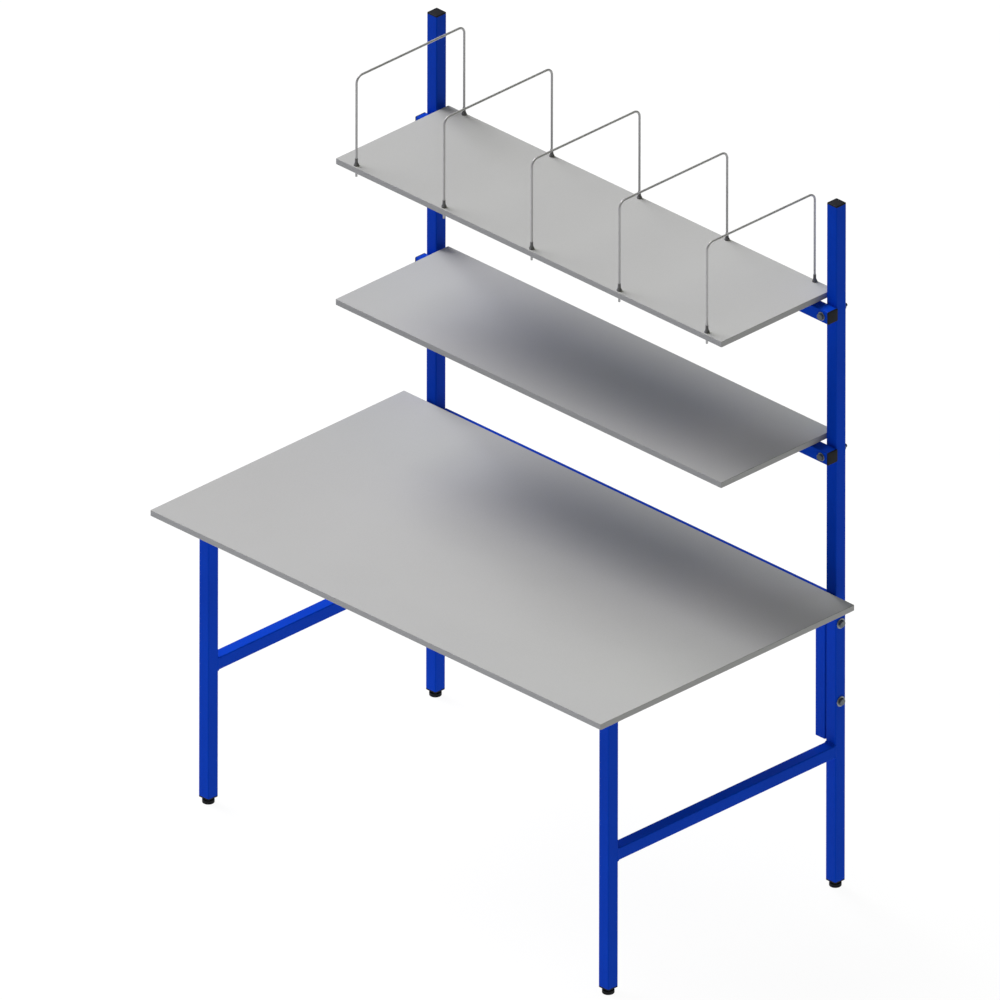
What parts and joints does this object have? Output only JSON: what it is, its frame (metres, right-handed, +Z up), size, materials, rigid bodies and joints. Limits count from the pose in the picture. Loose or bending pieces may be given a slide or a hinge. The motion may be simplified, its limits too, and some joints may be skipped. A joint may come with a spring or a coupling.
{
  "type": "packing table",
  "caption": "Packing table: a board worktop on a square-tube frame whose rear uprights carry two shelves, the upper one with lift-out wire dividers.",
  "frame": {"origin": "on the floor, at the centre of the part's box seen from above", "axes": "+X along the table to the right of a person standing at it, +Y from the front edge to the uprights, +Z up"},
  "size_m": [1.6, 0.959, 1.946],
  "materials": {
    "blue_coat": "satin blue powder coat on steel tube",
    "grey_board": "light grey melamine-faced chipboard",
    "black_plastic": "black moulded plastic",
    "grey_plastic": "dark grey moulded plastic",
    "zinc_steel": "bright zinc-plated steel",
    "bright_wire": "zinc-plated round wire"
  },
  "bodies": {
    "table_frame": {"worktop": "grey_board", "front_leg_left": "blue_coat", "rear_upright_left": "blue_coat", "side_rail_left": "blue_coat", "side_brace_left": "blue_coat", "upright_cap_left": "black_plastic", "foot_insert_front_left": "black_plastic", "foot_insert_rear_left": "black_plastic", "front_leg_right": "blue_coat", "rear_upright_right": "blue_coat", "side_rail_right": "blue_coat", "side_brace_right": "blue_coat", "upright_cap_right": "black_plastic", "foot_insert_front_right": "black_plastic", "foot_insert_rear_right": "black_plastic", "front_rail": "blue_coat", "rear_bearer": "blue_coat", "back_rail": "blue_coat", "back_post_left": "blue_coat", "frame_bolt_upper_left": "zinc_steel", "frame_bolt_lower_left": "zinc_steel", "back_post_right": "blue_coat", "frame_bolt_upper_right": "zinc_steel", "frame_bolt_lower_right": "zinc_steel", "shelf_upper": "grey_board", "shelf_beam_upper": "blue_coat", "shelf_arm_upper_left": "blue_coat", "beam_cap_upper_left": "black_plastic", "beam_bolt_upper_left": "zinc_steel", "shelf_arm_upper_right": "blue_coat", "beam_cap_upper_right": "black_plastic", "beam_bolt_upper_right": "zinc_steel", "shelf_lower": "grey_board", "shelf_beam_lower": "blue_coat", "shelf_arm_lower_left": "blue_coat", "beam_cap_lower_left": "black_plastic", "beam_bolt_lower_left": "zinc_steel", "shelf_arm_lower_right": "blue_coat", "beam_cap_lower_right": "black_plastic", "beam_bolt_lower_right": "zinc_steel"},
    "divider_1": {"divider_wire_1": "bright_wire", "divider_ferrule_1_front": "grey_plastic", "divider_ferrule_1_back": "grey_plastic"},
    "divider_2": {"divider_wire_2": "bright_wire", "divider_ferrule_2_front": "grey_plastic", "divider_ferrule_2_back": "grey_plastic"},
    "divider_3": {"divider_wire_3": "bright_wire", "divider_ferrule_3_front": "grey_plastic", "divider_ferrule_3_back": "grey_plastic"},
    "divider_4": {"divider_wire_4": "bright_wire", "divider_ferrule_4_front": "grey_plastic", "divider_ferrule_4_back": "grey_plastic"},
    "divider_5": {"divider_wire_5": "bright_wire", "divider_ferrule_5_front": "grey_plastic", "divider_ferrule_5_back": "grey_plastic"},
    "foot_front_left": {"levelling_foot_front_left": "black_plastic"},
    "foot_front_right": {"levelling_foot_front_right": "black_plastic"},
    "foot_rear_left": {"levelling_foot_rear_left": "black_plastic"},
    "foot_rear_right": {"levelling_foot_rear_right": "black_plastic"}
  },
  "joints": [
    {"name": "divider_1_lift", "type": "slide", "parent": "table_frame", "child": "divider_1", "axis": [0, 0, 1], "range_m": [0, 0.034]},
    {"name": "divider_2_lift", "type": "slide", "parent": "table_frame", "child": "divider_2", "axis": [0, 0, 1], "range_m": [0, 0.034]},
    {"name": "divider_3_lift", "type": "slide", "parent": "table_frame", "child": "divider_3", "axis": [0, 0, 1], "range_m": [0, 0.034]},
    {"name": "divider_4_lift", "type": "slide", "parent": "table_frame", "child": "divider_4", "axis": [0, 0, 1], "range_m": [0, 0.034]},
    {"name": "divider_5_lift", "type": "slide", "parent": "table_frame", "child": "divider_5", "axis": [0, 0, 1], "range_m": [0, 0.034]},
    {"name": "foot_front_left_screw", "type": "slide", "parent": "table_frame", "child": "foot_front_left", "axis": [0, 0, -1], "range_m": [0, 0.015]},
    {"name": "foot_front_right_screw", "type": "slide", "parent": "table_frame", "child": "foot_front_right", "axis": [0, 0, -1], "range_m": [0, 0.015]},
    {"name": "foot_rear_left_screw", "type": "slide", "parent": "table_frame", "child": "foot_rear_left", "axis": [0, 0, -1], "range_m": [0, 0.015]},
    {"name": "foot_rear_right_screw", "type": "slide", "parent": "table_frame", "child": "foot_rear_right", "axis": [0, 0, -1], "range_m": [0, 0.015]}
  ]
}
